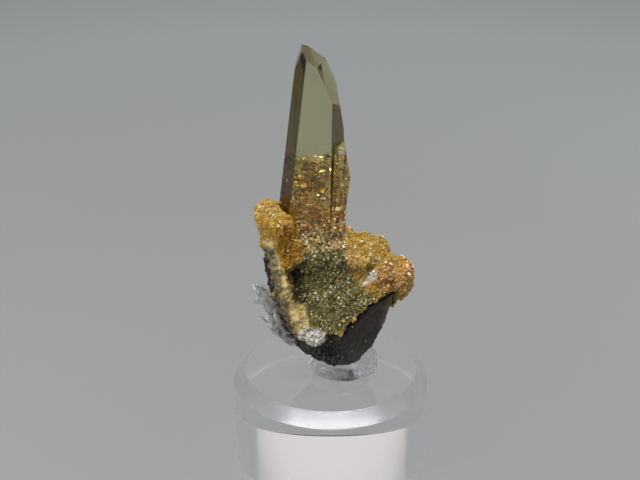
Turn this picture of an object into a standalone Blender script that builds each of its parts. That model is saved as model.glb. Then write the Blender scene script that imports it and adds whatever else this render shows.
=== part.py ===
"""Barite with calcite on a round clear stand.

A gemmy olive-brown barite crystal, with two smaller ones grown against it, stands in a crust of
honey calcite. The crust lines a broken wedge of dark shale, a spray of white needles grows on the
shale's left side, and the wedge's foot is set in clear putty on a bevelled acrylic disc.

Every size below is in millimetres: MM turns it into Blender's metres. X runs to the right, Y away
from the viewer and Z up. The origin is the middle of the stand's underside.
"""

import math
import random

import bmesh
import bpy
from mathutils import Matrix, Vector, noise

MM = 0.001
GAP = 0.3  # kept between neighbouring pieces

# Driving dimensions
STAND_RADIUS = 12.7  # a one-inch round
STAND_HEIGHT = 12.7
STAND_BEVEL = 1.55
STAND_SIDES = 72
PUTTY_CENTRE = (1.63, -0.3)
PUTTY_RADIUS = 4.6
PUTTY_HEIGHT = 1.6
CRYSTAL_TOP = 54.85  # the barite's tip above the stand's underside
CRYSTAL_FOOT = 29.4  # where the barite's buried end is broken off
CRUST_VOXEL = 0.5
CRUST_FACES = 2400
CRUST_ROUGHNESS = 0.34
SHALE_ROUGHNESS = 0.16
CRYSTAL_COUNT = 125  # the largest calcite rhombs, fused to the crust
RHOMB_SIZES = (0.4, 0.8)

# Corners of the shale wedge. The first group lies in one flat break, which faces right and down.
SHALE_BREAK = [
    (1.35, -5.0, 18.9),
    (3.0, -4.75, 21.1),
    (4.95, -4.2, 23.0),
    (6.9, -3.2, 24.0),
    (8.0, -2.35, 23.9),
    (7.45, -1.55, 21.4),
    (6.94, -1.22, 19.48),
    (5.45, -0.87, 15.8),
    (3.8, -1.25, 14.0),
    (2.7, -1.7, 13.3),
    (0.5, -3.4, 14.35),
]
SHALE_LEFT = [
    (-1.4, -2.7, 14.7),
    (-3.6, -2.4, 15.85),
    (-5.4, -1.7, 17.2),
    (-2.55, -4.3, 17.9),
    (-6.9, -0.3, 19.6),
    (-8.0, 0.4, 23.2),
    (-8.7, 1.0, 27.2),
]
SHALE_BACK = [
    (2.1, 1.9, 13.35),
    (-0.6, 1.2, 13.8),
    (0.6, 4.4, 16.2),
    (-5.2, 4.4, 20.5),
    (6.3, 3.6, 20.2),
    (-6.6, 5.2, 26.6),
    (0.2, 6.1, 27.4),
    (6.0, 5.0, 26.2),
]
SHALE_TOP = [
    (-8.3, 2.2, 28.3),
    (-4.9, 0.9, 28.6),
    (3.4, 0.6, 28.4),
    (7.7, 0.3, 27.0),
]

# The calcite crust: rounded masses as (centre, half sizes), and slabs as corner lists.
CALCITE_MASSES = {
    "left_crown": ((-7.25, -1.1, 33.8), (1.75, 2.3, 2.3)),
    "left_crown_tip": ((-8.2, -1.0, 34.7), (1.0, 1.5, 1.4)),
    "left_crown_front": ((-5.7, -3.2, 33.6), (1.3, 1.1, 2.0)),
    "left_shoulder": ((-6.7, -0.8, 30.9), (1.6, 2.9, 2.6)),
    "left_lobe": ((-4.6, -2.1, 30.2), (1.8, 1.6, 2.3)),
    "middle_foot": ((-0.9, -2.2, 29.5), (3.9, 1.3, 2.2)),
    "right_bridge": ((2.2, -1.2, 28.9), (1.9, 2.4, 2.1)),
    "right_crown": ((4.0, -0.7, 29.0), (2.2, 2.8, 2.2)),
    "right_middle": ((6.2, -0.9, 27.3), (2.1, 2.8, 2.0)),
    "right_knob": ((8.75, -0.9, 26.2), (1.8, 2.3, 2.1)),
    "right_knob_foot": ((9.1, -1.0, 24.4), (1.0, 1.5, 1.0)),
    "right_under": ((7.75, -0.7, 22.9), (0.6, 1.1, 1.5)),
    "back_left": ((-5.5, 3.3, 29.6), (2.8, 2.3, 2.8)),
    "back_middle": ((-0.7, 4.6, 28.8), (4.2, 1.8, 2.3)),
    "back_right": ((4.7, 3.3, 27.6), (3.2, 2.1, 2.2)),
}
LEFT_WALL = [
    (-7.7, -3.2, 31.0),
    (-6.0, -3.5, 30.2),
    (-6.9, -4.1, 25.6),
    (-5.05, -4.3, 25.4),
    (-4.75, -4.25, 19.1),
    (-2.95, -4.9, 19.2),
    (-3.4, -4.0, 18.3),
    (-7.6, 0.6, 29.5),
    (-5.9, 0.6, 28.6),
    (-6.5, -0.2, 22.0),
    (-3.8, -2.6, 18.4),
]
VUG_LINING = [
    (-3.9, -1.4, 29.0),
    (-4.7, -2.0, 25.5),
    (-2.7, -4.65, 20.0),
    (1.1, -5.4, 19.65),
    (2.75, -5.15, 21.75),
    (4.6, -4.55, 23.7),
    (6.75, -3.5, 24.8),
    (8.0, -2.4, 24.7),
    (5.0, -2.1, 28.4),
    (-0.1, -1.6, 30.6),
]
LINING_DEPTH = 2.6  # how far the lining reaches back, most of which the shale takes away
VUG_HOLLOW = ((-3.3, -4.7, 25.7), (1.75, 2.45, 3.4))  # the pit behind the left wall

# The barite's faces, as (a point on the face, the way it faces)
MAIN_CRYSTAL = [
    ((0, -2.5, 45), (0, -1, 0.012)),
    ((0, 2.6, 45), (0, 1, 0.02)),
    ((-6.33, 0, 35.3), (-0.992, 0, 0.128)),
    ((-5.31, -0.5, 43.2), (-0.84, -0.542, 0.108)),
    ((-5.31, 0.7, 43.2), (-0.84, 0.542, 0.108)),
    ((1.65, -0.4, 43.6), (0.81, -0.587, -0.01)),
    ((1.65, 0.5, 43.6), (0.81, 0.587, -0.01)),
    ((1.62, 0, 43.6), (0.997, 0, 0.03)),
    ((1.16, 0, 47.9), (0.988, 0, 0.155)),
    ((0.8, -0.3, 49.93), (0.83, -0.42, 0.36)),
    ((0.8, 0.5, 49.93), (0.83, 0.45, 0.36)),
    ((-2.45, 0, CRYSTAL_TOP), (0.539, -0.406, 0.735)),
    ((-2.45, 0, CRYSTAL_TOP), (0.539, 0.406, 0.735)),
    ((-3.78, 0, 53.3), (-0.943, -0.06, 0.333)),
    ((-4.4, 0, 50.9), (-0.98, -0.08, 0.184)),
    ((-2.8, 0, CRYSTAL_TOP), (-0.12, -0.1, 1)),
    ((0, 0, CRYSTAL_FOOT), (0, 0, -1)),
]
SIDE_CRYSTAL = [
    ((2.4, 0, 39.1), (0.99, 0, -0.137)),
    ((2.4, 0, 39.1), (0.987, 0, 0.162)),
    ((1.95, -1.6, 39.1), (0.72, -0.69, -0.05)),
    ((1.95, 1.0, 39.1), (0.72, 0.69, -0.05)),
    ((1.5, -2.0, 39), (0, -1, 0.03)),
    ((1.5, 1.5, 39), (0, 1, 0.03)),
    ((1.5, 0, 43.6), (-0.5, 0, 0.87)),
    ((1.9, 0, 43.2), (0.75, -0.1, 0.65)),
    ((0.2, 0, 39), (-1, 0, 0)),
    ((0, 0, CRYSTAL_FOOT + 0.7), (0, 0, -1)),
]
SMALL_BLADE = [
    ((1.1, -2, 38), (0.97, -0.1, 0.03)),
    ((0.25, -2, 38), (-0.97, -0.2, 0.06)),
    ((0.5, -2.85, 38), (0, -1, 0.02)),
    ((0.5, 0, 38), (0, 1, 0)),
    ((0.5, -2.6, 41.9), (-0.35, -0.45, 0.82)),
    ((1.0, -2.6, 41.6), (0.75, -0.3, 0.6)),
    ((0.5, -2.85, 33.0), (0, -0.6, -0.8)),
]

# Roots of the white needles down the left flank, as (centre, half sizes)
NEEDLE_ROOTS = [
    ((-8.85, -0.7, 23.9), (0.6, 0.6, 0.8)),
    ((-8.4, -1.0, 22.9), (0.65, 0.7, 0.9)),
    ((-7.95, -1.35, 21.8), (0.7, 0.75, 0.9)),
    ((-7.4, -1.7, 20.7), (0.7, 0.75, 0.9)),
    ((-6.8, -2.1, 19.6), (0.65, 0.7, 0.9)),
    ((-6.1, -2.5, 18.6), (0.6, 0.65, 0.8)),
    ((-5.4, -2.8, 17.7), (0.5, 0.55, 0.6)),
]
NEEDLES_PER_ROOT = 8
NEEDLE_LENGTHS = (1.2, 2.3)
NEEDLE_RADIUS = 0.12
TUFT_ROOT = ((-2.0, -5.1, 19.5), (1.15, 0.6, 0.85))
TUFT_SPIKES = 20
TUFT_LENGTHS = (0.8, 1.3)


def clear_scene():
    for old in list(bpy.data.objects):
        bpy.data.objects.remove(old)


def material(name, colour, roughness, metallic=0.0, transmission=0.0, ior=1.5):
    made = bpy.data.materials.new(name)
    made.use_nodes = True
    shader = made.node_tree.nodes["Principled BSDF"]
    shader.inputs["Base Color"].default_value = (*colour, 1)
    shader.inputs["Roughness"].default_value = roughness
    shader.inputs["Metallic"].default_value = metallic
    shader.inputs["Transmission Weight"].default_value = transmission
    shader.inputs["IOR"].default_value = ior
    made.diffuse_color = (*colour, 1)
    return made


def new_object(name, bm, finish=None, smooth=False):
    """A named object from a bmesh in millimetres."""
    bmesh.ops.scale(bm, vec=(MM, MM, MM), verts=bm.verts)
    mesh = bpy.data.meshes.new(name)
    bm.to_mesh(mesh)
    bm.free()
    if smooth:
        mesh.shade_smooth()
        mesh.set_sharp_from_angle(angle=math.radians(35))
    made = bpy.data.objects.new(name, mesh)
    if finish is not None:
        mesh.materials.append(finish)
    bpy.context.scene.collection.objects.link(made)
    return made


def helper(made):
    """Marks a cutter or a guide, which isn't a piece of the object."""
    made.hide_render = True
    made.display_type = "WIRE"
    return made


def hull_of(corners):
    """The closed convex body round a list of corners."""
    bm = bmesh.new()
    for corner in corners:
        bm.verts.new(corner)
    found = bmesh.ops.convex_hull(bm, input=bm.verts, use_existing_faces=False)
    loose = {e for e in found["geom_interior"] + found["geom_unused"] if isinstance(e, bmesh.types.BMVert)}
    bmesh.ops.delete(bm, geom=[v for v in loose if v.is_valid], context="VERTS")
    bmesh.ops.recalc_face_normals(bm, faces=bm.faces)
    return bm


def swollen(corners, by):
    """The corners pushed away from their middle, so that their hull grows by about that much."""
    middle = sum((Vector(c) for c in corners), Vector()) / len(corners)
    bm = hull_of(corners)
    grown = []
    for vert in bm.verts:
        normals = [f.normal for f in vert.link_faces]
        away = sum(normals, Vector()).normalized()
        least = min(max(away.dot(n), 0.35) for n in normals)
        if away.dot(vert.co - middle) < 0:
            away = (vert.co - middle).normalized()
        grown.append(vert.co + away * (by / least))
    bm.free()
    return [tuple(v) for v in grown]


def ellipsoid(bm, centre, half_sizes, subdivisions=3):
    place = Matrix.Translation(centre) @ Matrix.Diagonal((*half_sizes, 1))
    bmesh.ops.create_icosphere(bm, subdivisions=subdivisions, radius=1, matrix=place)


def add_bodies(bm, other):
    """Adds a second bmesh's body to the first."""
    carrier = bpy.data.meshes.new("carrier")
    other.to_mesh(carrier)
    other.free()
    bm.from_mesh(carrier)
    bpy.data.meshes.remove(carrier)


def crystal(faces, reach=60, grow=0.0):
    """A crystal: a large block cut back by one plane for each of its faces."""
    bm = bmesh.new()
    bmesh.ops.create_cube(bm, size=reach, matrix=Matrix.Translation((0, 0, 40)))
    for point, direction in faces:
        facing = Vector(direction).normalized()
        cut = bmesh.ops.bisect_plane(
            bm,
            geom=bm.verts[:] + bm.edges[:] + bm.faces[:],
            dist=1e-5,
            plane_co=Vector(point) + facing * grow,
            plane_no=facing,
            clear_outer=True,
        )
        rim = [e for e in cut["geom_cut"] if isinstance(e, bmesh.types.BMEdge)]
        if rim:
            bmesh.ops.contextual_create(bm, geom=rim)
    bmesh.ops.remove_doubles(bm, verts=bm.verts, dist=1e-3)
    bmesh.ops.recalc_face_normals(bm, faces=bm.faces)
    return bm


def add_boolean(made, other, operation):
    step = made.modifiers.new(f"{operation}_{other.name}", "BOOLEAN")
    step.operation = operation
    step.solver = "EXACT"
    step.object = other
    return step


def applied(made):
    """Replaces an object's mesh with what its modifiers make of it."""
    graph = bpy.context.evaluated_depsgraph_get()
    result = bpy.data.meshes.new_from_object(made.evaluated_get(graph))
    made.modifiers.clear()
    made.data = result
    return made


def keep_largest(made):
    """Removes chips that a cut has left loose from the body."""
    bm = bmesh.new()
    bm.from_mesh(made.data)
    bmesh.ops.remove_doubles(bm, verts=bm.verts, dist=2e-6)
    seen = set()
    groups = []
    for start in bm.verts:
        if start in seen:
            continue
        group = []
        waiting = [start]
        seen.add(start)
        while waiting:
            vert = waiting.pop()
            group.append(vert)
            for edge in vert.link_edges:
                other = edge.other_vert(vert)
                if other not in seen:
                    seen.add(other)
                    waiting.append(other)
        groups.append(group)
    groups.sort(key=len)
    for group in groups[:-1]:
        bmesh.ops.delete(bm, geom=group, context="VERTS")
    bm.to_mesh(made.data)
    bm.free()
    return made


def make_stand():
    """The acrylic disc: a turned blank with a polished bevel round its top edge."""
    bm = bmesh.new()
    bmesh.ops.create_cone(
        bm,
        cap_ends=True,
        cap_tris=False,
        segments=STAND_SIDES,
        radius1=STAND_RADIUS,
        radius2=STAND_RADIUS,
        depth=STAND_HEIGHT,
        matrix=Matrix.Translation((0, 0, STAND_HEIGHT / 2)),
    )
    rim = [e for e in bm.edges if all(v.co.z > STAND_HEIGHT - 0.01 for v in e.verts)]
    bmesh.ops.bevel(
        bm, geom=rim, offset=STAND_BEVEL, segments=1, profile=0.5, affect="EDGES", material=-1
    )
    clear = material("clear_acrylic", (0.95, 0.96, 0.96), 0.03, transmission=1.0, ior=1.49)
    return new_object("acrylic_stand", bm, clear, smooth=True)


def make_putty(shale_cutter):
    """The low clear pad, with the wedge's foot pressed into it."""
    bm = bmesh.new()
    low = STAND_HEIGHT + GAP
    bmesh.ops.create_cone(
        bm,
        cap_ends=True,
        cap_tris=False,
        segments=36,
        radius1=PUTTY_RADIUS,
        radius2=PUTTY_RADIUS * 0.96,
        depth=PUTTY_HEIGHT,
        matrix=Matrix.Translation((*PUTTY_CENTRE, low + PUTTY_HEIGHT / 2)),
    )
    rim = [e for e in bm.edges if all(v.co.z > low + PUTTY_HEIGHT - 0.01 for v in e.verts)]
    bmesh.ops.bevel(bm, geom=rim, offset=0.5, segments=2, profile=0.5, affect="EDGES", material=-1)
    for vert in bm.verts:
        if vert.co.z > low + 0.5:
            vert.co.z += 0.3 * noise.noise(vert.co * 0.45)
    clear = material("clear_putty", (0.93, 0.94, 0.94), 0.12, transmission=0.95, ior=1.45)
    made = new_object("clear_putty", bm, clear, smooth=True)
    add_boolean(made, shale_cutter, "DIFFERENCE")
    return made


def shale_corners():
    return SHALE_BREAK + SHALE_LEFT + SHALE_BACK + SHALE_TOP


def make_shale():
    """The wedge of shale: flat breaks, lightly hackly away from the smooth one at the right."""
    bm = hull_of(shale_corners())
    bmesh.ops.triangulate(bm, faces=bm.faces)
    for _ in range(2):
        long_edges = [e for e in bm.edges if e.calc_length() > 1.7]
        bmesh.ops.subdivide_edges(bm, edges=long_edges, cuts=1, use_grid_fill=True)
        bmesh.ops.triangulate(bm, faces=bm.faces)
    smooth_break = Vector((0.497, -0.821, -0.279))
    bm.normal_update()
    moves = {}
    for vert in bm.verts:
        flat = all(f.normal.dot(smooth_break) > 0.9 for f in vert.link_faces)
        depth = 0.02 if flat else SHALE_ROUGHNESS
        wave = noise.noise(vert.co * 0.9 + Vector((7, 3, 1)))
        moves[vert] = vert.normal * (depth * (wave - 0.9))
    for vert, move in moves.items():
        vert.co += move
    stone = material("dark_shale", (0.035, 0.03, 0.028), 0.62)
    return new_object("shale_matrix", bm, stone)


def make_barite():
    """The long crystal with the side crystal and the small blade grown into it."""
    tint = material("olive_barite", (0.62, 0.58, 0.36), 0.03, transmission=1.0, ior=1.64)
    made = new_object("barite_crystals", crystal(MAIN_CRYSTAL), tint)
    for name, faces in (("side_crystal", SIDE_CRYSTAL), ("small_blade", SMALL_BLADE)):
        other = helper(new_object(name, crystal(faces)))
        add_boolean(made, other, "UNION")
    return keep_largest(applied(made))


def barite_cutters():
    """The three crystals grown by the gap, to clear a socket for them in the calcite."""
    cutters = []
    for name, faces in (
        ("main_socket", MAIN_CRYSTAL),
        ("side_socket", SIDE_CRYSTAL),
        ("blade_socket", SMALL_BLADE),
    ):
        cutters.append(helper(new_object(name, crystal(faces, grow=GAP))))
    return cutters


def add_rhomb(bm, place, size, turn):
    """One calcite rhomb: a cube stretched along its long diagonal and laid at a turn."""
    stretch = Matrix.Rotation(math.atan(math.sqrt(2)), 4, Vector((1, -1, 0)).normalized())
    shape = Matrix.Diagonal((1, 1, 1.35, 1)) @ stretch
    matrix = Matrix.Translation(place) @ turn.to_matrix().to_4x4() @ shape
    bmesh.ops.create_cube(bm, size=size, matrix=matrix)


def calcite_body():
    """The crust's main forms, run together as one lumpy body."""
    bm = bmesh.new()
    for centre, half_sizes in CALCITE_MASSES.values():
        ellipsoid(bm, centre, half_sizes)
    add_bodies(bm, hull_of(LEFT_WALL))
    back = [(x, y + LINING_DEPTH, z) for x, y, z in VUG_LINING]
    add_bodies(bm, hull_of(VUG_LINING + back))
    made = new_object("calcite_crust", bm)
    run_together = made.modifiers.new("run_together", "REMESH")
    run_together.mode = "VOXEL"
    run_together.voxel_size = CRUST_VOXEL * MM
    applied(made)
    return made


def roughen(made, depth, scale):
    """Pushes the surface in and out along its normals by a smooth noise, both in millimetres."""
    bm = bmesh.new()
    bm.from_mesh(made.data)
    bmesh.ops.smooth_vert(bm, verts=bm.verts, factor=0.5, use_axis_x=True, use_axis_y=True, use_axis_z=True)
    bm.normal_update()
    moves = []
    for vert in bm.verts:
        place = vert.co / MM
        wave = noise.noise(place / scale) + 0.5 * noise.noise(place / scale * 2.3 + Vector((5, 5, 5)))
        moves.append((vert, vert.normal * (wave * depth * MM)))
    for vert, move in moves:
        vert.co += move
    bm.to_mesh(made.data)
    bm.free()


def thin_out(made, faces):
    """Lowers the body to about so many triangles."""
    made.data.calc_loop_triangles()
    share = faces / len(made.data.loop_triangles)
    if share < 1:
        step = made.modifiers.new("thin_out", "DECIMATE")
        step.ratio = share
        step.use_collapse_triangulate = True
        applied(made)


def rhombs_on(made, count, sizes, seed):
    """One mesh of rhombs that stand half out of the body, at places spread over its surface."""
    draw = random.Random(seed)
    mesh = made.data
    mesh.calc_loop_triangles()
    corners = [[mesh.vertices[i].co / MM for i in t.vertices] for t in mesh.loop_triangles]
    areas = [(b - a).cross(c - a).length / 2 for a, b, c in corners]
    picks = draw.choices(range(len(corners)), weights=areas, k=count * 3)
    places = []
    bm = bmesh.new()
    for pick in picks:
        a, b, c = corners[pick]
        u, v = sorted((draw.random(), draw.random()))
        place = a * u + b * (v - u) + c * (1 - v)
        turn = Vector((draw.gauss(0, 1), draw.gauss(0, 1), draw.gauss(0, 1))).normalized()
        angle = draw.uniform(0, math.tau)
        size = draw.uniform(*sizes)
        if len(places) < count and all((place - p).length > 0.75 for p in places):
            places.append(place)
            add_rhomb(bm, place, size, Matrix.Rotation(angle, 3, turn).to_quaternion())
    return helper(new_object("rhombs", bm))


def make_calcite(cutters):
    """The honey crust, with its largest rhombs fused on and room left for what it grew round."""
    made = calcite_body()
    honey = material("honey_calcite", (0.62, 0.33, 0.08), 0.4)
    made.data.materials.clear()
    made.data.materials.append(honey)
    roughen(made, CRUST_ROUGHNESS, 1.5)
    thin_out(made, CRUST_FACES)
    hollow = bmesh.new()
    ellipsoid(hollow, *VUG_HOLLOW)
    dish = helper(new_object("vug_hollow", hollow))
    add_boolean(made, dish, "DIFFERENCE")
    applied(made)
    rhombs = rhombs_on(made, CRYSTAL_COUNT, RHOMB_SIZES, seed=11)
    step = add_boolean(made, rhombs, "UNION")
    step.use_self = True
    for cutter in cutters:
        add_boolean(made, cutter, "DIFFERENCE")
    return keep_largest(applied(made))


def add_spike(bm, root, direction, length, radius, sides=4):
    """One thin needle, from a blunt root to a near point."""
    along = direction.normalized()
    turn = along.to_track_quat("Z", "Y").to_matrix().to_4x4()
    matrix = Matrix.Translation(root + along * (length / 2)) @ turn
    bmesh.ops.create_cone(
        bm,
        cap_ends=True,
        cap_tris=False,
        segments=sides,
        radius1=radius,
        radius2=radius * 0.2,
        depth=length,
        matrix=matrix,
    )


def burst(name, roots, count, lengths, radius, heading, spread, seed):
    """Lumps in a row, bristling with spikes that fan out about one heading."""
    draw = random.Random(seed)
    bm = bmesh.new()
    spikes = bmesh.new()
    for centre, half_sizes in roots:
        ellipsoid(bm, centre, half_sizes, subdivisions=2)
        for _ in range(count):
            off = Vector([draw.uniform(-0.75, 0.75) * h for h in half_sizes])
            lean = Vector([draw.gauss(0, spread) for _ in range(3)])
            way = Vector(heading).normalized() + lean + off * 0.35
            thick = radius * draw.uniform(0.8, 1.3)
            add_spike(spikes, Vector(centre) + off, way, draw.uniform(*lengths), thick)
    lump = new_object(name, bm)
    fan = helper(new_object(f"{name}_spikes", spikes))
    step = add_boolean(lump, fan, "UNION")
    step.use_self = True
    return lump


def make_needles(cutters):
    made = burst(
        "needle_spray",
        NEEDLE_ROOTS,
        NEEDLES_PER_ROOT,
        NEEDLE_LENGTHS,
        NEEDLE_RADIUS,
        (-0.8, -0.35, 0.3),
        0.36,
        seed=5,
    )
    made.data.materials.append(material("white_needles", (0.72, 0.69, 0.68), 0.4))
    for cutter in cutters:
        add_boolean(made, cutter, "DIFFERENCE")
    return keep_largest(applied(made))


def make_tuft(cutters):
    made = burst(
        "white_tuft",
        [TUFT_ROOT],
        TUFT_SPIKES,
        TUFT_LENGTHS,
        0.14,
        (0.05, -0.8, 0.2),
        0.55,
        seed=9,
    )
    made.data.materials.append(material("white_tuft", (0.78, 0.74, 0.68), 0.45))
    centre, half_sizes = TUFT_ROOT
    allowed = bmesh.new()
    ellipsoid(allowed, centre, [h + 0.12 for h in half_sizes])
    limit = helper(new_object("tuft_limit", allowed))
    add_boolean(made, limit, "INTERSECT")
    for cutter in cutters:
        add_boolean(made, cutter, "DIFFERENCE")
    return keep_largest(applied(made))


def main():
    clear_scene()
    make_stand()
    shale_cutter = helper(new_object("shale_socket", hull_of(swollen(shale_corners(), GAP))))
    wall_cutter = helper(new_object("wall_socket", hull_of(swollen(LEFT_WALL, 0.75))))
    make_putty(shale_cutter)
    make_shale()
    make_barite()
    centre, half_sizes = TUFT_ROOT
    tuft_room = bmesh.new()
    ellipsoid(tuft_room, centre, [h + 0.12 + GAP for h in half_sizes])
    tuft_cutter = helper(new_object("tuft_socket", tuft_room))
    make_calcite([shale_cutter, *barite_cutters(), tuft_cutter])
    make_needles([shale_cutter, wall_cutter])
    make_tuft([shale_cutter])


main()
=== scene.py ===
import math
import random

import bmesh
import bpy
import numpy as np
from mathutils import Matrix, Vector, noise
from mathutils.bvhtree import BVHTree


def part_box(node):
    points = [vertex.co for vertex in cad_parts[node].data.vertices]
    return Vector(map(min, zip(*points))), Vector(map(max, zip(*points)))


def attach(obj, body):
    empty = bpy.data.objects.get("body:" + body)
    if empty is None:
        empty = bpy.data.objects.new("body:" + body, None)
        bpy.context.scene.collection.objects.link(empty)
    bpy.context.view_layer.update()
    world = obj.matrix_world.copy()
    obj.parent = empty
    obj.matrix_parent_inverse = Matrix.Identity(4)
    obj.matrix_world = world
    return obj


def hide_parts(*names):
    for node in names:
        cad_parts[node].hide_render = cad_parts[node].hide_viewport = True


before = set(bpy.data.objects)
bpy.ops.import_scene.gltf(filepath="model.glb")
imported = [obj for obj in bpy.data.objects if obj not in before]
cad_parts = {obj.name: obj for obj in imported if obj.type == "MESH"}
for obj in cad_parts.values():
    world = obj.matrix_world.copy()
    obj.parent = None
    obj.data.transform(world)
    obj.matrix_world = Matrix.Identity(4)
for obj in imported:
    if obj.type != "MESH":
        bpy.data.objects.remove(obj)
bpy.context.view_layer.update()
print("frame loaded")

# Lengths are in millimetres until a mesh is finished, where this turns them into metres.
mm = 0.001

# The camera, whose sight lines also place the specimen's coloured areas
view = {
    "target": (-1.312, 0, 30.6),
    "pitch": 22.8,
    "roll": -0.36,
    "distance": 124.8,
    "lens": 56.25,
    "sensor": 36,
    "nearest": 2,
}
pitch, roll = math.radians(view["pitch"]), math.radians(view["roll"])


# Mesh helpers

def readNode(name):
    bm = bmesh.new()
    bm.from_mesh(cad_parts[name].data)
    bmesh.ops.remove_doubles(bm, verts=bm.verts, dist=2e-6)
    bmesh.ops.scale(bm, vec=(1 / mm, 1 / mm, 1 / mm), verts=bm.verts)
    bmesh.ops.recalc_face_normals(bm, faces=bm.faces)
    return bm


def addObject(name, data):
    made = bpy.data.objects.new(name, data)
    bpy.context.scene.collection.objects.link(made)
    return made


def remeshed(bm, voxel):
    mesh = bpy.data.meshes.new("work")
    bm.to_mesh(mesh)
    bm.free()
    work = addObject("work", mesh)
    step = work.modifiers.new("fine", "REMESH")
    step.mode = "VOXEL"
    step.voxel_size = voxel
    graph = bpy.context.evaluated_depsgraph_get()
    result = bpy.data.meshes.new_from_object(work.evaluated_get(graph))
    bpy.data.objects.remove(work)
    fine = bmesh.new()
    fine.from_mesh(result)
    bpy.data.meshes.remove(result)
    return fine


def displace(bm, depthAt):
    bm.normal_update()
    moves = [(v, v.normal * depthAt(v.co, v.normal)) for v in bm.verts]
    for vert, move in moves:
        vert.co += move


# Lumps of several sizes at once, each with its own height
def layered(place, sizes, heights):
    return sum(h * noise.noise(place / s + Vector((s * 7, 3, 1))) for s, h in zip(sizes, heights))


def noiseAt(points, size):
    return np.array([noise.noise(Vector(p) / size) for p in points])


def placePiece(name, mesh, material, replaced=(), smooth=None):
    mesh.materials.append(material)
    if smooth is not None:
        mesh.shade_smooth()
        mesh.set_sharp_from_angle(angle=math.radians(smooth))
    piece = addObject(name, mesh)
    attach(piece, "root")
    if replaced:
        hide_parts(*replaced)
    print(name, len(mesh.polygons), "faces")
    return piece


# Light passes a clear piece, as it does in a real one, so what is in it and behind it is lit.
def letLightIn(piece):
    piece.visible_shadow = False


def meshFrom(bm, name):
    bmesh.ops.scale(bm, vec=(mm, mm, mm), verts=bm.verts)
    mesh = bpy.data.meshes.new(name)
    bm.to_mesh(mesh)
    bm.free()
    return mesh


def meshFromLists(name, points, faces):
    mesh = bpy.data.meshes.new(name)
    mesh.from_pydata((points * mm).tolist(), [], faces)
    mesh.update()
    return mesh


def paint(mesh, colours):
    layer = mesh.attributes.new("tint", "FLOAT_COLOR", "POINT")
    full = np.ones((len(mesh.vertices), 4), dtype=np.float32)
    full[:, :3] = np.clip(colours, 0, 1)
    layer.data.foreach_set("color", full.ravel())


# One colour for each of a mesh's equal loose parts
def paintEach(mesh, colours):
    paint(mesh, np.repeat(colours, len(mesh.vertices) // len(colours), axis=0))


def surfaceOf(bm):
    corners = []
    for face in bm.faces:
        ring = [v.co for v in face.verts]
        for i in range(1, len(ring) - 1):
            corners.append((*ring[0], *ring[i], *ring[i + 1]))
    tris = np.array(corners).reshape(-1, 3, 3)
    cross = np.cross(tris[:, 1] - tris[:, 0], tris[:, 2] - tris[:, 0])
    size = np.linalg.norm(cross, axis=1)
    keep = size > 1e-9
    tris, cross, size = tris[keep], cross[keep], size[keep]
    return {"tris": tris, "normals": cross / size[:, None], "areas": size / 2}


def nodeSurface(name):
    bm = readNode(name)
    surface = surfaceOf(bm)
    bm.free()
    return surface


# Random helpers

# Random places on a surface, even over its area or weighted
def scatter(surface, count, rng, weightAt=None):
    tris = surface["tris"]
    weights = surface["areas"].copy()
    if weightAt is not None:
        weights *= weightAt(tris.mean(axis=1), surface["normals"])
    weights /= weights.sum()
    picks = rng.choice(len(tris), size=count, p=weights)
    a, b = rng.random(count), rng.random(count)
    over = a + b > 1
    a[over], b[over] = 1 - a[over], 1 - b[over]
    chosen = tris[picks]
    along, across = chosen[:, 1] - chosen[:, 0], chosen[:, 2] - chosen[:, 0]
    places = chosen[:, 0] + a[:, None] * along + b[:, None] * across
    return places, surface["normals"][picks]


# Sizes between two limits, most of them near the lower one
def skewed(limits, power, count, rng):
    low, high = limits
    return low + (high - low) * rng.random(count) ** power


def variedTint(colour, spread, count, rng):
    return np.array(colour) * np.exp(rng.normal(0, spread, count))[:, None]


def unitLength(vectors):
    return vectors / np.linalg.norm(vectors, axis=1)[:, None]


def randomTurns(count, rng):
    q = rng.normal(size=(count, 4))
    q /= np.linalg.norm(q, axis=1)[:, None]
    w, x, y, z = q.T
    rows = [
        [1 - 2 * (y * y + z * z), 2 * (x * y - z * w), 2 * (x * z + y * w)],
        [2 * (x * y + z * w), 1 - 2 * (x * x + z * z), 2 * (y * z - x * w)],
        [2 * (x * z - y * w), 2 * (y * z + x * w), 1 - 2 * (x * x + y * y)],
    ]
    return np.array(rows).transpose(2, 0, 1)


# Turns that leave a flake more or less level, by the tilt
def lyingTurns(count, rng, tilt):
    spin = rng.uniform(0, math.tau, count)
    lean = rng.normal(0, tilt, count)
    c, s, cl, sl = np.cos(spin), np.sin(spin), np.cos(lean), np.sin(lean)
    none = np.zeros(count)
    rows = [[c, -s * cl, s * sl], [s, c * cl, -c * sl], [none, sl, cl]]
    return np.array(rows).transpose(2, 0, 1)


# Small parts, many in one mesh

cubeCorners = np.array([[x, y, z] for z in (-0.5, 0.5) for y in (-0.5, 0.5) for x in (-0.5, 0.5)])
cubeSides = np.array([[0, 2, 3, 1], [4, 5, 7, 6], [0, 1, 5, 4], [2, 6, 7, 3], [0, 4, 6, 2], [1, 3, 7, 5]])


def manyBlocks(name, turns, local, places):
    points = np.einsum("nij,nkj->nki", turns, local) + places[:, None, :]
    faces = cubeSides[None] + (np.arange(len(places)) * len(cubeCorners))[:, None, None]
    return meshFromLists(name, points.reshape(-1, 3), faces.reshape(-1, 4).tolist())


# Cleavage rhombs: cubes pressed together along a body diagonal and stretched a little at random
def grainMesh(name, places, sizes, rng, squeeze=0.82, stretch=(0.75, 1.25)):
    axis = np.ones(3) / math.sqrt(3)
    rhomb = cubeCorners + (squeeze - 1) * (cubeCorners @ axis)[:, None] * axis
    turns = randomTurns(len(places), rng)
    shapes = rng.uniform(*stretch, size=(len(places), 1, 3))
    return manyBlocks(name, turns, rhomb[None] * shapes * sizes[:, None, None], places)


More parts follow.
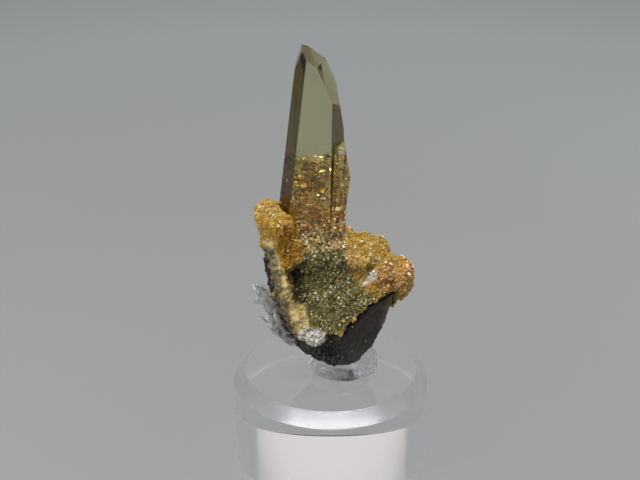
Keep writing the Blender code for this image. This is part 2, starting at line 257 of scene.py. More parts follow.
# Thin blocks with uneven corners
def flakeMesh(name, places, sizes, rng, thin, tilt):
    count = len(places)
    longs, wides = rng.uniform(0.6, 1.6, count), rng.uniform(0.5, 1.1, count)
    shapes = np.stack((longs, wides, np.full(count, thin)), axis=1)
    local = cubeCorners[None] * shapes[:, None, :] * sizes[:, None, None]
    local = local + rng.normal(0, 0.1, local.shape) * sizes[:, None, None] * (1, 1, 0.4)
    return manyBlocks(name, lyingTurns(count, rng, tilt), local, places)


# Three-sided fibres that narrow to their tips
def fibreMesh(name, starts, headings, lengths, widths, rng, steps, curl, taper=0.75):
    count = len(starts)
    side = unitLength(np.cross(headings, rng.normal(size=(count, 3))))
    other = np.cross(headings, side)
    rings = []
    for k in range(steps + 1):
        t = k / steps
        centre = starts + headings * (lengths * t)[:, None] + side * (lengths * curl * t * t)[:, None]
        width = widths * (1 - taper * t)
        for corner in range(3):
            angle = math.tau * corner / 3
            rings.append(centre + (side * math.cos(angle) + other * math.sin(angle)) * width[:, None])
    points = np.stack(rings, axis=1).reshape(-1, 3)
    quads = []
    for k in range(steps):
        for corner in range(3):
            a = k * 3 + corner
            b = k * 3 + (corner + 1) % 3
            quads.append((a, b, b + 3, a + 3))
    perFibre = (steps + 1) * 3
    caps = [(2, 1, 0), (perFibre - 3, perFibre - 2, perFibre - 1)]
    firsts = (np.arange(count) * perFibre)[:, None, None]
    sides = (np.array(quads)[None] + firsts).reshape(-1, 4).tolist()
    ends = (np.array(caps)[None] + firsts).reshape(-1, 3).tolist()
    return meshFromLists(name, points, sides + ends)


# Areas of the specimen with colours of their own, as outlines seen along the sight line from the front:
# across, and height where that line meets the specimen's middle plane. The edge is how soft each one is.
zones = {
    "druse": {"edge": 0.7, "outline": [
        (-3.3, 28.4), (-1.6, 29.5), (1.6, 29), (2.3, 27), (3, 25.1), (4.3, 23.4), (5.6, 22.5), (4, 20.9),
        (2.5, 19.2), (1.6, 18.1), (-0.1, 17), (-1.1, 17.9), (-2.5, 17.8), (-2.9, 19.7), (-3.4, 21.7),
        (-4.7, 22.1), (-5, 24.3), (-5.5, 26.1), (-4, 27.1)]},
    "pit": {"edge": 0.9, "outline": [(-5.5, 26.5), (-3.3, 27.9), (-3.3, 21.9), (-4.6, 22)]},
    "foot": {"edge": 1.4, "outline": [
        (-4.4, 34.4), (1.8, 34.3), (1.4, 30.9), (1.8, 29.2), (-0.7, 29.2), (-3.3, 29), (-3.8, 31.3)]},
    "amber": {"edge": 1.2, "outline": [
        (6, 26.7), (8.5, 28.1), (10.5, 27.5), (10.4, 24.3), (9.6, 22.5), (7.3, 23.3), (6, 24.3)]},
    "strip": {"edge": 0.5, "outline": [
        (-8.5, 30.7), (-7.3, 30.6), (-5.9, 26.2), (-4.9, 24.3), (-3.4, 21.7), (-2.8, 19.4), (-2.8, 17.4),
        (-4, 15.8), (-5.3, 18.7), (-7.4, 25.8)]},
    "lobe": {"edge": 1.6, "outline": [
        (-6.8, 32.5), (-4.3, 32.8), (-3.3, 30.6), (-3.5, 27.6), (-5.1, 26.2), (-6.6, 27.6)]},
    "flank": {"edge": 0.5, "outline": [
        (-9.1, 29.0), (-8.3, 30.1), (-7.1, 29.3), (-6.7, 27.6), (-6.3, 25.3), (-5.6, 22.3), (-4.9, 18.8),
        (-3.5, 16.0), (-5.3, 16.1), (-7.6, 19.7), (-9.3, 23.7)]},
    "shadedShards": {"edge": 0.6, "outline": [
        (-6.1, 18.0), (-3.7, 15.6), (-0.1, 15.6), (1.3, 14.7), (2.8, 13.2), (2.4, 10.4), (-1.4, 10.5),
        (-5.4, 13.2)]},
    "needles": {"edge": 0.5, "outline": [
        (-9.8, 24.4), (-8.6, 24.7), (-7.6, 23.2), (-6.7, 21.3), (-5.6, 18.6), (-4.2, 16.1), (-5.0, 15.8),
        (-6.4, 16.7), (-7.8, 18.0), (-9.4, 19.6), (-9.9, 21.5)]},
    "rust": {"edge": 0.8, "outline": [(7.8, 22.8), (8.6, 22.2), (7.4, 19.0), (6.4, 17.9), (6.9, 20.8)]},
    "white": {"edge": 0.5, "outline": [
        (4.5, 25.3), (5.2, 26.2), (5.8, 26.2), (5.9, 25.3), (5, 24.5), (4, 24.2)]},
}
eyeAcross = view["target"][0]
eyeBack = round(view["distance"] * math.cos(pitch), 2)
eyeHeight = round(view["target"][2] + view["distance"] * math.sin(pitch), 2)


def sightPlane(points):
    depth = (points[:, 1] + eyeBack) / eyeBack
    across = eyeAcross + (points[:, 0] - eyeAcross) / depth
    height = eyeHeight + (points[:, 2] - eyeHeight) / depth
    return np.column_stack((across, height))


# Signed distance to an outline, positive inside, for points given as (across, height)
def insideBy(points, outline):
    outline = np.array(outline)
    best = np.full(len(points), 1e9)
    inside = np.zeros(len(points), dtype=bool)
    for i in range(len(outline)):
        a, b = outline[i], outline[(i + 1) % len(outline)]
        edge = b - a
        along = np.clip(((points - a) @ edge) / (edge @ edge), 0, 1)
        best = np.minimum(best, np.linalg.norm(points - a - along[:, None] * edge, axis=1))
        crosses = (a[1] > points[:, 1]) != (b[1] > points[:, 1])
        across = a[0] + (points[:, 1] - a[1]) * edge[0] / (edge[1] if edge[1] else 1e-9)
        inside ^= crosses & (points[:, 0] < across)
    return np.where(inside, best, -best)


# How far each point is in a zone, from 0 outside to 1 inside
def zoneShare(points, zone, edge=None):
    inner = insideBy(sightPlane(points), zones[zone]["outline"])
    share = np.clip(inner / (edge or zones[zone]["edge"]) + 0.5, 0, 1)
    return share * share * (3 - 2 * share)


# Material helpers

def newMaterial(name):
    material = bpy.data.materials.new(name)
    material.use_nodes = True
    tree = material.node_tree
    return material, tree, tree.nodes["Principled BSDF"]


def addNode(tree, kind, **values):
    made = tree.nodes.new(kind)
    for key, value in values.items():
        if key in made.inputs:
            made.inputs[key].default_value = value
        else:
            setattr(made, key, value)
    return made


def join(source, output, target, socket):
    source.id_data.links.new(source.outputs[output], target.inputs[socket])


def attributeNode(tree, name):
    return addNode(tree, "ShaderNodeAttribute", attribute_name=name)


def noiseNode(tree, scale, detail=4.0, roughness=0.55):
    place = addNode(tree, "ShaderNodeTexCoord")
    made = addNode(tree, "ShaderNodeTexNoise", Scale=scale, Detail=detail, Roughness=roughness)
    join(place, "Object", made, "Vector")
    return made


def rampNode(tree, source, stops):
    made = addNode(tree, "ShaderNodeValToRGB")
    line = made.color_ramp
    while len(line.elements) < len(stops):
        line.elements.new(0.5)
    for element, (place, colour) in zip(line.elements, stops):
        element.position = place
        element.color = (*colour, 1)
    tree.links.new(source, made.inputs["Fac"])
    return made


def setInputs(node, values):
    for key, value in values.items():
        node.inputs[key].default_value = value


def rangeNode(tree, source, low, high, start=0.0, end=1.0):
    made = addNode(tree, "ShaderNodeMapRange")
    setInputs(made, {"From Min": start, "From Max": end, "To Min": low, "To Max": high})
    tree.links.new(source, made.inputs["Value"])
    return made


# Multiplies one colour by another, all of it or by a share
def multiplied(tree, colour, other, share=None):
    made = addNode(tree, "ShaderNodeMix", data_type="RGBA", blend_type="MULTIPLY")
    if share is None:
        made.inputs[0].default_value = 1.0
    else:
        tree.links.new(share, made.inputs[0])
    tree.links.new(colour, made.inputs[6])
    tree.links.new(other, made.inputs[7])
    return made.outputs[2]


# What all the grained and crystalline finishes have in common
stoneFinish = {
    "middle": (0.3, 0.7),
    "bumpFiner": 2.2,
    "bumpDepth": 0.00006,
    "glowColour": (1.0, 0.55, 0.2),
    "glowDepth": 0.0007,
    "ior": 1.6,
}


def crystalStone(name, look):
    material, tree, shader = newMaterial(name)
    grainy = noiseNode(tree, look["grainScale"], 3.0).outputs["Fac"]
    shade = rangeNode(tree, grainy, *look["shade"], *stoneFinish["middle"])
    mixed = addNode(tree, "ShaderNodeVectorMath", operation="SCALE")
    tree.links.new(attributeNode(tree, "tint").outputs["Color"], mixed.inputs[0])
    join(shade, "Result", mixed, "Scale")
    join(mixed, "Vector", shader, "Base Color")
    gloss = rangeNode(tree, grainy, *look["rough"], *stoneFinish["middle"])
    join(gloss, "Result", shader, "Roughness")
    finer = noiseNode(tree, look["grainScale"] * stoneFinish["bumpFiner"], 2.0)
    bump = addNode(tree, "ShaderNodeBump", Strength=look["bump"], Distance=stoneFinish["bumpDepth"])
    join(finer, "Fac", bump, "Height")
    join(bump, "Normal", shader, "Normal")
    setInputs(shader, {
        "Subsurface Weight": look["glow"],
        "Subsurface Radius": stoneFinish["glowColour"],
        "Subsurface Scale": stoneFinish["glowDepth"],
        "IOR": stoneFinish["ior"],
        "Specular IOR Level": look.get("sheen", 0.5),
    })
    return material


def clearSolid(name, look):
    material, tree, shader = newMaterial(name)
    setInputs(shader, {"Base Color": (*look["colour"], 1), "Transmission Weight": 1.0, "IOR": look["ior"]})
    if "cloudScale" in look:
        cloud = noiseNode(tree, look["cloudScale"], 3.0)
        rough = rangeNode(tree, cloud.outputs["Fac"], *look["rough"], *look["cloudMiddle"])
        join(rough, "Result", shader, "Roughness")
    else:
        shader.inputs["Roughness"].default_value = look["rough"]
    return material


# Calcite crust

crust = {
    "node": "calcite_crust",
    "slot": "honey_calcite",
    "voxel": 0.2,
    "lumpSizes": (1.3, 0.6, 0.3),
    "lumpHeights": (0.16, 0.14, 0.1),
    "sunk": 0.02,
    "driftSize": 2.2,
    "raggedSize": 0.5,
    "look": {"grainScale": 3800.0, "shade": (0.82, 1.22), "rough": (0.22, 0.5), "bump": 0.35, "glow": 0.4,
             "sheen": 0.35},
}
calciteColours = {
    "honey": (0.49, 0.295, 0.05),
    "pale": (0.53, 0.36, 0.11),
    "deep": (0.43, 0.205, 0.014),
    "olive": (0.155, 0.13, 0.042),
    "pitShadeOlive": (0.075, 0.06, 0.02),
    "cream": (0.61, 0.48, 0.21),
    "amber": (0.56, 0.285, 0.09),
    "rose": (0.45, 0.29, 0.16),
    "slate": (0.085, 0.07, 0.042),
    "white": (0.86, 0.80, 0.70),
}


# Areas of the crust with one colour each: its name and strength, and if it stays on the front
plainAreas = {
    "lobe": ("deep", 0.95, True),
    "strip": ("cream", 0.95, True),
    "amber": ("amber", 0.8, False),
    "foot": ("rose", 0.8, True),
}


def mixTo(colours, name, share):
    return colours + (np.array(calciteColours[name]) - colours) * share[:, None]


# The crust's colour at each point: honey over all, changed area by area. Facing is the normal's Y.
def crustColours(points, facing):
    drift = noiseAt(points, crust["driftSize"])
    colours = np.tile(calciteColours["honey"], (len(points), 1)).astype(float)
    colours = mixTo(colours, "pale", np.clip(0.25 + drift * 0.9, 0, 0.8))
    colours = mixTo(colours, "deep", np.clip(-drift * 1.1 - 0.05, 0, 0.8))
    front = np.clip(facing * -2.5 + 0.6, 0, 1)
    for area, (colour, strength, frontOnly) in plainAreas.items():
        share = zoneShare(points, area) * (front if frontOnly else 1)
        colours = mixTo(colours, colour, share * strength)
    ragged = noiseAt(points, crust["raggedSize"])
    druse = zoneShare(points, "druse") * front
    druse = np.clip(druse + (druse > 0.02) * ragged * 0.3, 0, 1)
    colours = mixTo(colours, "olive", druse)
    # Painted shade: the pit under the overhang is darkened to dark olive.
    colours = mixTo(colours, "pitShadeOlive", zoneShare(points, "pit") * front * 0.9)
    colours = mixTo(colours, "white", zoneShare(points, "white") * front * np.clip(0.75 + ragged, 0, 0.9))
    colours = mixTo(colours, "slate", zoneShare(points, "flank") * np.clip(0.8 + ragged * 0.6, 0, 0.96))
    return colours, druse


crustBody = remeshed(readNode(crust["node"]), crust["voxel"])
displace(crustBody, lambda p, n: layered(p, crust["lumpSizes"], crust["lumpHeights"]) - crust["sunk"])
crustSurface = surfaceOf(crustBody)
crustPoints = np.array([v.co for v in crustBody.verts])
crustFacing = np.array([v.normal.y for v in crustBody.verts])
crustTint, _ = crustColours(crustPoints, crustFacing)
calciteLook = crystalStone("honeyCalcite", crust["look"])
crustMesh = meshFrom(crustBody, "calcite_body")
paint(crustMesh, crustTint)
placePiece("calcite_body", crustMesh, calciteLook, (crust["node"],))

# Small rhombs all over the crust, closest in the hollow and few on the cream strip and the grey flank
grains = {
    "count": 16500,
    "sizes": (0.1, 0.38),
    "druseSizes": (0.1, 0.27),
    "raised": 0.12,
    "moreInDruse": 1.6,
    "moreInFront": 0.5,
    "fewerOnStrip": 0.93,
    "fewerOnFlank": 0.85,
    "brightness": (0.1, 0.5),
    "paintedGlintShares": (0.011, 0.035),
    "paintedGlintTint": (0.62, 0.59, 0.50),
    "whiteTint": (0.92, 0.87, 0.78),
    "seed": 3,
    "look": {"grainScale": 2600.0, "shade": (0.88, 1.25), "rough": (0.1, 0.34), "bump": 0.1, "glow": 0.35},
}


def grainWeight(centres, normals):
    front = normals[:, 1] < 0
    druse = zoneShare(centres, "druse") * (normals[:, 1] < 0.2)
    more = 1 + grains["moreInDruse"] * druse + grains["moreInFront"] * front
    strip = 1 - grains["fewerOnStrip"] * (zoneShare(centres, "strip") * front)
    flank = 1 - grains["fewerOnFlank"] * zoneShare(centres, "flank")
    return more * strip * flank


rng = np.random.default_rng(grains["seed"])
grainPlaces, grainNormals = scatter(crustSurface, grains["count"], rng, grainWeight)
grainTint, grainDruse = crustColours(grainPlaces, grainNormals[:, 1])
grainSizes = skewed(grains["sizes"], 2.2, grains["count"], rng)
druseSizes = skewed(grains["druseSizes"], 1.5, grains["count"], rng)
grainSizes = np.where(grainDruse > 0.5, druseSizes, grainSizes)
grainPlaces = grainPlaces + grainNormals * (grainSizes * grains["raised"])[:, None]
even, mixed = grains["brightness"]
grainBright = np.exp(rng.normal(0, 1, grains["count"]) * (even + mixed * grainDruse))[:, None]
grainTint = np.clip(grainTint * grainBright, 0, 0.95)
# A few grains, more in the hollow, are painted pale as glints: painted highlights.
few, many = grains["paintedGlintShares"]
paintedGlint = rng.random(grains["count"]) < few + many * grainDruse
grainTint[paintedGlint] = grainTint[paintedGlint] * 0.3 + np.array(grains["paintedGlintTint"])
whiteHere = zoneShare(grainPlaces, "white") > 0.35
grainTint[whiteHere] = np.array(grains["whiteTint"]) * np.clip(grainBright[whiteHere], 0.7, 1.1)
grainBlocks = grainMesh("calcite_grains", grainPlaces, grainSizes, rng)
paintEach(grainBlocks, grainTint)
grainLook = crystalStone("calciteGrains", grains["look"])
placePiece("calcite_grains", grainBlocks, grainLook)
print("calcite done")


# Shale wedge

shale = {
    "node": "shale_matrix",
    "slot": "dark_shale",
    "voxel": 0.2,
    "breakFacing": (0.497, -0.821, -0.279),
    "roughSizes": (1.4, 0.55, 0.25),
    "roughHeights": (0.16, 0.12, 0.08),
    "sheetRates": (0.35, 0.35, 2.6),
    "sheetHeight": 0.08,
    "calmSizes": (2.5, 0.6),
    "calmHeights": (0.05, 0.015),
    "sunk": 0.03,
    "rightEdgeFrom": 6.2,
    "brownSize": 1.1,
    "greySize": 0.4,
    "scratchRates": (3.2, 3.2, 0.9),
    "scratchShade": 0.12,
    "dark": (0.021, 0.018, 0.014),
    "grey": (0.066, 0.06, 0.05),
    "brown": (0.11, 0.062, 0.026),
    "rust": (0.24, 0.135, 0.06),
    "look": {"grainScale": 5200.0, "shade": (0.5, 1.6), "rough": (0.24, 0.62), "bump": 0.4, "glow": 0.0,
             "sheen": 0.2},
}
breakFacing = Vector(shale["breakFacing"]).normalized()


# The broken face is calm, and the rest is rough and lies in thin sheets.
def shaleDepth(place, normal):
    flat = max(0.0, min(1.0, (normal.dot(breakFacing) - 0.86) / 0.1))
    sheets = noise.noise(Vector([along * rate for along, rate in zip(place, shale["sheetRates"])]))
    rough = layered(place, shale["roughSizes"], shale["roughHeights"]) + shale["sheetHeight"] * sheets
    calm = layered(place, shale["calmSizes"], shale["calmHeights"])
    return rough * (1 - flat) + calm * flat - shale["sunk"]


# Dark with grey mottling, brown in patches, near black with scratches in the broken foot (partly its own dark
# colour, partly painted shade where it faces down), rusty on the right
def shaleColours(points, normals):
    brown = noiseAt(points, shale["brownSize"])
    rightEdge = np.clip((points[:, 0] - shale["rightEdgeFrom"]) / 1.2, 0, 1)
    rightEdge = rightEdge * np.clip((normals[:, 0] - 0.3) * 3, 0, 1)
    brownShare = np.clip(brown * 1.2 - 0.25 + rightEdge * 0.7, 0, 1)[:, None]
    greyShare = np.clip(noiseAt(points, shale["greySize"]) + 0.3, 0, 1)[:, None]
    tint = np.array(shale["dark"]) * (1 - greyShare) + np.array(shale["grey"]) * greyShare
    tint = tint * (1 - brownShare * 0.7) + np.array(shale["brown"]) * brownShare * 0.7
    shadedShards = zoneShare(points, "shadedShards")[:, None]
    scratches = np.array([noise.noise(Vector(p * shale["scratchRates"])) for p in points])
    scratches = np.clip(scratches * 5 - 2.2, 0, 1)[:, None]
    # Near black in the broken foot: partly painted shade on the down-facing lower part.
    tint = tint * (1 - 0.92 * shadedShards) + shale["scratchShade"] * shadedShards * scratches
    rust = zoneShare(points, "rust")[:, None] * np.clip(0.75 + brown, 0, 1)[:, None]
    return tint * (1 - 0.9 * rust) + np.array(shale["rust"]) * 0.9 * rust


shaleBody = remeshed(readNode(shale["node"]), shale["voxel"])
displace(shaleBody, shaleDepth)
shalePoints = np.array([v.co for v in shaleBody.verts])
shaleNormals = np.array([v.normal for v in shaleBody.verts])
shaleSurface = surfaceOf(shaleBody)
shaleMesh = meshFrom(shaleBody, "shale_body")
paint(shaleMesh, shaleColours(shalePoints, shaleNormals))
shaleLook = crystalStone("darkShale", shale["look"])
placePiece("shale_body", shaleMesh, shaleLook, (shale["node"],))

# Loose grains on the rock, few of them on the broken face
specks = {"count": 900, "sizes": (0.06, 0.22), "onBreak": 0.12, "tint": (0.09, 0.08, 0.06), "seed": 8}


def speckWeight(centres, normals):
    return np.where(normals @ np.array(breakFacing) > 0.9, specks["onBreak"], 1.0)


rng = np.random.default_rng(specks["seed"])
speckPlaces, _ = scatter(shaleSurface, specks["count"], rng, speckWeight)
speckSizes = rng.uniform(*specks["sizes"], specks["count"])
speckMesh = grainMesh("shale_specks", speckPlaces, speckSizes, rng)
paintEach(speckMesh, variedTint(specks["tint"], 0.9, specks["count"], rng))
placePiece("shale_specks", speckMesh, grainLook)

# Thin bright splinters in the dark broken foot
splinters = {
    "count": 260,
    "lengths": (0.25, 1.1),
    "thickness": (0.012, 0.03),
    "headings": (0.6, 0.6, 1.2),
    "lieFlat": 0.9,
    "tint": (0.30, 0.27, 0.23),
    "seed": 19,
}


def splinterWeight(centres, normals):
    return zoneShare(centres, "shadedShards") * (normals[:, 1] < 0.3) + 1e-9


rng = np.random.default_rng(splinters["seed"])
starts, normals = scatter(shaleSurface, splinters["count"], rng, splinterWeight)
headings = rng.normal(0, 1, (splinters["count"], 3)) * splinters["headings"]
headings -= normals * np.sum(headings * normals, axis=1)[:, None] * splinters["lieFlat"]
headings = unitLength(headings)
lengths = rng.uniform(*splinters["lengths"], splinters["count"])
widths = rng.uniform(*splinters["thickness"], splinters["count"])
starts = starts - headings * (lengths / 2)[:, None]
splinterMesh = fibreMesh("shale_splinters", starts, headings, lengths, widths, rng, steps=2, curl=0.0)
paintEach(splinterMesh, variedTint(splinters["tint"], 0.8, splinters["count"], rng))
placePiece("shale_splinters", splinterMesh, grainLook)
print("shale done")


# Barite crystals, with the flat breaks inside their lower half

barite = {
    "node": "barite_crystals",
    "slot": "olive_barite",
    "flatWithin": 1.2,
    "sharpFrom": 12,
    "edge": 0.035,
    "bevelArea": 18,
    "insideX": (-6.3, 2.3),
    "insideY": (-2.6, 2.6),
    "ior": 1.64,
    "density": 190.0,
    "soak": (0.62, 0.60, 0.12),
    # The second tint is painted shade: dark brown on the side bevels, where the real crystal shows dark
    # surroundings through itself.
    "tintsWithBevelShade": [(1, 1, 1), (0.07, 0.042, 0.006), (1, 0.93, 0.74)],
    "haze": [0.0, 0.0, 0.5],
    "streaked": [0.0, 1.0, 0.3],
    "stainTop": 42.2,
    "stainLean": 0.3,
    "stainRagged": 2.4,
    "raggedScale": 1100.0,
    "streakScale": 2300.0,
    "streakHeight": 0.12,
    "streakColours": [(0.38, (0.26, 0.20, 0.10)), (0.46, (0.76, 0.66, 0.46)), (0.56, (1, 1, 1))],
    "stainColours": [
        (29.5, (0.92, 0.62, 0.38)), (33.5, (0.94, 0.68, 0.30)), (37.5, (0.96, 0.76, 0.34)),
        (41.3, (0.96, 0.80, 0.46)), (42.0, (1, 0.98, 0.92)), (42.5, (1, 1, 1)),
    ],
}


# Kinds of face, in the order of the lists above: flat and clear, side bevel darkened with painted shade for
# the dark surroundings seen through it, frosted tip
def kindOf(face):
    facing = face.normal
    if facing.z > 0.6:
        return 2
    if abs(facing.x) > 0.6 and facing.y < 0.2 and facing.z < 0.3 and face.calc_area() > barite["bevelArea"]:
        return 1
    return 0


crystalBody = readNode(barite["node"])
bmesh.ops.dissolve_limit(
    crystalBody, angle_limit=math.radians(barite["flatWithin"]), verts=crystalBody.verts,
    edges=crystalBody.edges,
)
crystalTree = BVHTree.FromBMesh(crystalBody)
sharpFrom = math.radians(barite["sharpFrom"])
sharp = [e for e in crystalBody.edges if len(e.link_faces) == 2 and e.calc_face_angle() > sharpFrom]
bmesh.ops.bevel(
    crystalBody, geom=sharp, offset=barite["edge"], segments=1, profile=0.5, affect="EDGES", material=-1,
    clamp_overlap=True,
)
crystalBody.normal_update()
kindLayer = crystalBody.faces.layers.int.new("kind")
for face in crystalBody.faces:
    face[kindLayer] = kindOf(face)


def depthInside(place):
    near, normal, _, distance = crystalTree.find_nearest(place)
    return distance if (place - near).dot(normal) < 0 else -distance


# The stain in the lower half ends at a ragged level that is higher at the front.
def belowStainTop(place):
    ragged = (noise.noise(place * 0.9) + 0.3 * noise.noise(place * 3)) * 0.9
    return place.z + barite["stainLean"] * place.y + ragged < barite["stainTop"]


def bariteGlass():
    material, tree, shader = newMaterial("oliveBarite")
    place = addNode(tree, "ShaderNodeTexCoord").outputs["Object"]

    # Height on the crystal, leaning and ragged, turned into the stain's colours
    parts = addNode(tree, "ShaderNodeSeparateXYZ")
    tree.links.new(place, parts.inputs["Vector"])
    leaning = addNode(tree, "ShaderNodeMath", operation="MULTIPLY_ADD")
    leaning.inputs[1].default_value = barite["stainLean"]
    join(parts, "Y", leaning, 0)
    join(parts, "Z", leaning, 2)
    ragged = addNode(tree, "ShaderNodeMath", operation="MULTIPLY_ADD")
    ragged.inputs[1].default_value = barite["stainRagged"] * mm
    tree.links.new(noiseNode(tree, barite["raggedScale"], 4.0, 0.7).outputs["Fac"], ragged.inputs[0])
    join(leaning, "Value", ragged, 2)
    lowest, highest = barite["stainColours"][0][0], barite["stainColours"][-1][0]
    shift = barite["stainRagged"] / 2
    level = rangeNode(tree, ragged.outputs["Value"], 0, 1, (lowest + shift) * mm, (highest + shift) * mm)
    stops = [((z - lowest) / (highest - lowest), colour) for z, colour in barite["stainColours"]]
    stain = rampNode(tree, level.outputs["Result"], stops)

    # Upright streaks, as strong as the face says, and at least half strength below the stain's top
    upright = addNode(tree, "ShaderNodeMapping")
    upright.inputs["Scale"].default_value = (1, 1, barite["streakHeight"])
    tree.links.new(place, upright.inputs["Vector"])
    streaks = addNode(tree, "ShaderNodeTexNoise", Scale=barite["streakScale"], Detail=4.0, Roughness=0.6)
    join(upright, "Vector", streaks, "Vector")
    streakRamp = rampNode(tree, streaks.outputs["Fac"], barite["streakColours"])
    below = rangeNode(tree, level.outputs["Result"], 0.5, 0, 0.86, 0.97)
    streaked = addNode(tree, "ShaderNodeMath", operation="MAXIMUM")
    join(below, "Result", streaked, 0)
    tree.links.new(attributeNode(tree, "streaked").outputs["Fac"], streaked.inputs[1])
    stained = multiplied(tree, stain.outputs["Color"], streakRamp.outputs["Color"], streaked.outputs["Value"])

    # The face tint carries the painted shade of the side bevels.
    tinted = multiplied(tree, stained, attributeNode(tree, "tint").outputs["Color"])
    tree.links.new(tinted, shader.inputs["Base Color"])
    tree.links.new(attributeNode(tree, "haze").outputs["Fac"], shader.inputs["Roughness"])
    setInputs(shader, {"Transmission Weight": 1.0, "IOR": barite["ior"]})
    soak = addNode(tree, "ShaderNodeVolumeAbsorption", Density=barite["density"])
    soak.inputs["Color"].default_value = (*barite["soak"], 1)
    tree.links.new(soak.outputs["Volume"], tree.nodes["Material Output"].inputs["Volume"])
    return material


flakes = {
    "count": 700,
    "radii": (0.12, 0.9),
    "thickness": (0.02, 0.06),
    "heights": (30.2, 43.4),
    "sides": (5, 8),
    "bend": 0.12,
    "lying": 0.4,
    "clearOfSkin": 0.05,
    "leastRoom": 0.12,
    "leastRadius": 0.07,
    "seed": 17,
}


# A thin hollow in the glass, whose faces point into it
def addFlake(bm, place, turn, radius, thick, draw):
    sides = draw.randint(*flakes["sides"])
    bend = draw.uniform(-flakes["bend"], flakes["bend"]) * radius
    ring = []
    for k in range(sides):
        angle = math.tau * (k + draw.uniform(-0.25, 0.25)) / sides
        reach = radius * draw.uniform(0.55, 1.1)
        lift = bend * math.cos(2 * angle) + draw.uniform(-0.02, 0.02)
        corner = Vector((reach * math.cos(angle), reach * math.sin(angle), lift))
        ring.append(bm.verts.new(place + turn @ corner))
    top = bm.verts.new(place + turn @ Vector((0, 0, thick / 2)))
    foot = bm.verts.new(place + turn @ Vector((0, 0, -thick / 2)))
    for k in range(sides):
        following = ring[(k + 1) % sides]
        bm.faces.new((top, following, ring[k]))
        bm.faces.new((foot, ring[k], following))


def flakeTurn(draw):
    if draw.random() < flakes["lying"]:
        facing = Vector((draw.gauss(0, 0.28), draw.gauss(0, 0.28), 1))
    else:
        facing = Vector((draw.gauss(0, 1), draw.gauss(0, 1), draw.gauss(0, 0.3)))
    return facing.normalized().to_track_quat("Z", "Y").to_matrix()


draw = random.Random(flakes["seed"])
smallest, largest = flakes["radii"]
made = 0
while made < flakes["count"]:
    height = draw.uniform(*flakes["heights"])
    place = Vector((draw.uniform(*barite["insideX"]), draw.uniform(*barite["insideY"]), height))
    if not belowStainTop(place):
        continue
    room = depthInside(place)
    radius = min(smallest + (largest - smallest) * draw.random() ** 1.8, room - flakes["clearOfSkin"])
    if room < flakes["leastRoom"] or radius < flakes["leastRadius"]:
        continue
    turn = flakeTurn(draw)
    addFlake(crystalBody, place, turn, radius, draw.uniform(*flakes["thickness"]), draw)
    made += 1

tintLayer = crystalBody.faces.layers.float_color.new("tint")
hazeLayer = crystalBody.faces.layers.float.new("haze")
streakLayer = crystalBody.faces.layers.float.new("streaked")
for face in crystalBody.faces:
    kind = face[kindLayer]
    face[tintLayer] = (*barite["tintsWithBevelShade"][kind], 1)
    face[hazeLayer] = barite["haze"][kind]
    face[streakLayer] = barite["streaked"][kind]
crystalMesh = meshFrom(crystalBody, "barite_glass")
letLightIn(placePiece("barite_glass", crystalMesh, bariteGlass(), (barite["node"],)))

# Golden stained flakes sealed in the lower half, more of them lower down
gold = {
    "count": 1000,
    "sizes": (0.06, 0.6),
    "thin": 0.14,
    "tilt": 1.1,
    "heights": (30.2, 43.2),
    "leastDepth": 0.1,
    "tint": (0.15, 0.097, 0.042),
    "paleGlintTint": (0.88, 0.82, 0.62),
    "paleGlintShare": 0.05,
    "seed": 29,
}
draw = random.Random(gold["seed"])
lowest, highest = gold["heights"]
goldPlaces = []
while len(goldPlaces) < gold["count"]:
    across, through = draw.uniform(*barite["insideX"]), draw.uniform(*barite["insideY"])
    place = Vector((across, through, lowest + (highest - lowest) * draw.random() ** 1.7))
    if belowStainTop(place) and depthInside(place) > gold["leastDepth"]:
        goldPlaces.append(place)
rng = np.random.default_rng(gold["seed"])
goldSizes = skewed(gold["sizes"], 2, gold["count"], rng)
goldMesh = flakeMesh("barite_gold_flakes", np.array(goldPlaces), goldSizes, rng, gold["thin"], gold["tilt"])
goldTint = variedTint(gold["tint"], 0.9, gold["count"], rng)
# A few flakes are painted near white as glints: painted highlights inside the crystal.
goldTint[rng.random(gold["count"]) < gold["paleGlintShare"]] = gold["paleGlintTint"]
paintEach(goldMesh, goldTint)
placePiece("barite_gold_flakes", goldMesh, grainLook)

# Brown stained grains on the crystals' foot, heaped up low down
footGrains = {
    "count": 3400,
    "sizes": (0.08, 0.34),
    "heights": (29.7, 35.2),
    "thinOver": 5.0,
    "bands": 24,
    "bandHeight": 0.25,
    "heapTop": 32.0,
    "heap": 0.6,
    "tint": (0.45, 0.315, 0.135),
    "seed": 23,
}
lowest, highest = footGrains["heights"]


def footWeight(centres, normals):
    height = centres[:, 2]
    return np.clip((highest - height) / footGrains["thinOver"], 0, 1) ** 2.4 * (height > lowest) + 1e-9


# The long faces are cut in bands first, so that the grains can thin out upwards on them.
footBody = readNode(barite["node"])
for band in range(footGrains["bands"]):
    bmesh.ops.bisect_plane(
        footBody, geom=footBody.verts[:] + footBody.edges[:] + footBody.faces[:],
        plane_co=(0, 0, lowest + footGrains["bandHeight"] * band), plane_no=(0, 0, 1),
    )
footSurface = surfaceOf(footBody)
footBody.free()
rng = np.random.default_rng(footGrains["seed"])
places, normals = scatter(footSurface, footGrains["count"], rng, footWeight)
keep = (places[:, 2] < highest) & (places[:, 2] > lowest)
places, normals = places[keep], normals[keep]
footSizes = skewed(footGrains["sizes"], 2, len(places), rng)
heaped = np.clip((footGrains["heapTop"] - places[:, 2]) / 2, 0, 1)
swell = heaped * rng.random(len(places)) * footGrains["heap"]
places = places + normals * swell[:, None]
footMesh = grainMesh("barite_foot_grains", places, footSizes, rng)
paintEach(footMesh, variedTint(footGrains["tint"], 0.55, len(places), rng))
placePiece("barite_foot_grains", footMesh, grainLook)
print("barite done")


# White needles on the left flank, in sheaves that share a root and a heading

